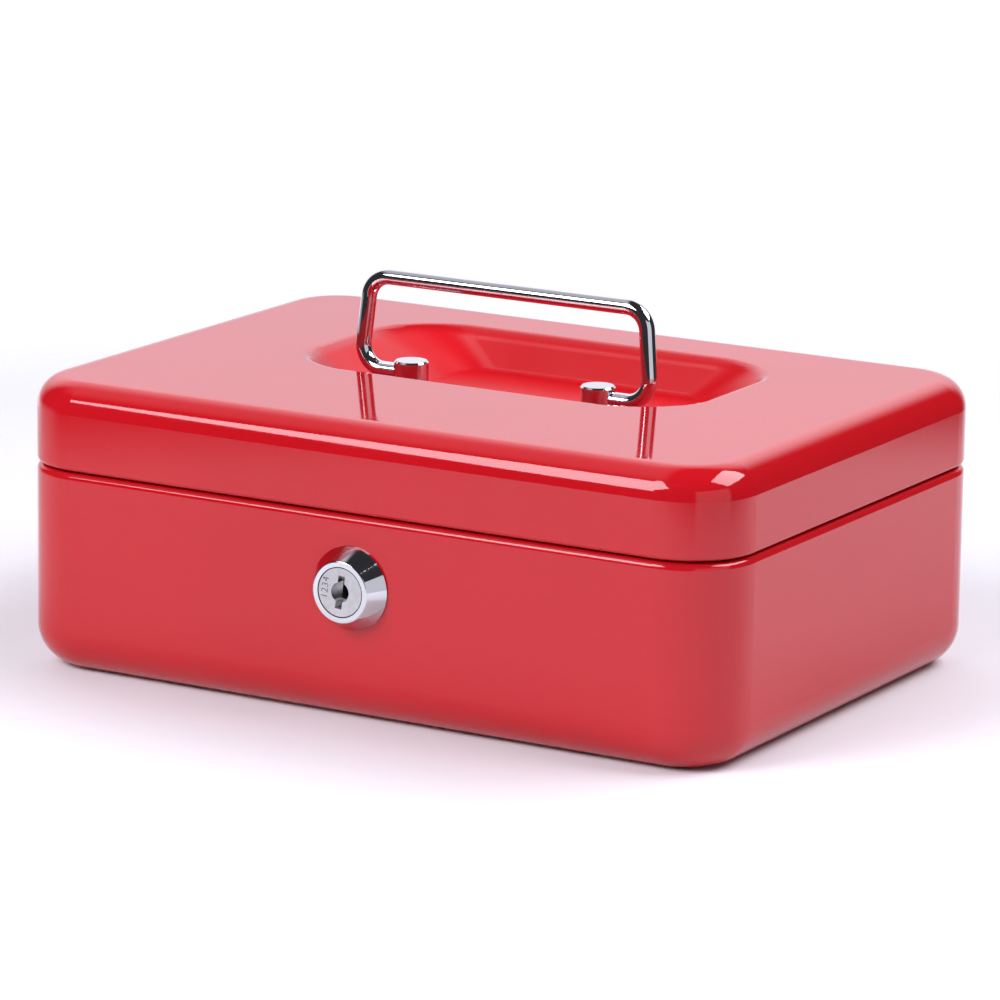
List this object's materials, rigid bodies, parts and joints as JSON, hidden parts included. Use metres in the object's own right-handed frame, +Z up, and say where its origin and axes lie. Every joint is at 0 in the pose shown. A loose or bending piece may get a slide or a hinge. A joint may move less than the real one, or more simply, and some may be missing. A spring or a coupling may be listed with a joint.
{
  "type": "cash box",
  "caption": "Lockable pressed-steel cash box with a hinged lid, a wire carrying handle folding into a lid well, a front cam lock and a lift-out coin tray.",
  "frame": {"origin": "on the resting face, under the middle of the box", "axes": "+X along the front to the right, +Y from the front to the hinges, +Z up"},
  "size_m": [0.25, 0.1874, 0.121],
  "materials": {
    "red_enamel": "gloss",
    "plated_steel": "satin",
    "polished_chrome": "polished",
    "wafer_brass": "satin",
    "tray_plastic": "fine texture"
  },
  "bodies": {
    "base": {"base_shell": "red_enamel", "base_hinge_leaf_left": "red_enamel", "base_hinge_leaf_right": "red_enamel", "hinge_pin_left": "plated_steel", "hinge_pin_right": "plated_steel", "lock_housing": "polished_chrome", "lock_washer": "plated_steel", "lock_nut": "plated_steel", "tray_ledges": "red_enamel"},
    "lid": {"lid_shell": "red_enamel", "lid_hinge_leaf_left": "red_enamel", "lid_hinge_leaf_right": "red_enamel", "lid_catch": "red_enamel", "handle_post_left": "polished_chrome", "handle_post_right": "polished_chrome", "post_washers": "plated_steel", "post_screws": "plated_steel"},
    "handle": {"carry_handle": "polished_chrome"},
    "lock_core": {"lock_plug": "polished_chrome", "lock_wafers": "wafer_brass", "lock_cam": "plated_steel", "cam_washer": "plated_steel", "cam_screw": "plated_steel"},
    "tray": {"coin_tray": "tray_plastic", "tray_partition": "tray_plastic", "tray_dividers": "tray_plastic"}
  },
  "joints": [
    {"name": "lid_hinge", "type": "hinge", "parent": "base", "child": "lid", "pos_m": [0, 0.089, 0.0648], "axis": [-1, 0, 0], "range_deg": [0, 100]},
    {"name": "handle_fold", "type": "hinge", "parent": "lid", "child": "handle", "pos_m": [0, 0, 0.0889], "axis": [-1, 0, 0], "range_deg": [-76, 98]},
    {"name": "lock_turn", "type": "hinge", "parent": "base", "child": "lock_core", "pos_m": [0, -0.09, 0.0423], "axis": [0, 1, 0], "range_deg": [0, 90]},
    {"name": "tray_lift", "type": "slide", "parent": "base", "child": "tray", "axis": [0, 0, 1], "range_m": [0, 0.005]}
  ]
}
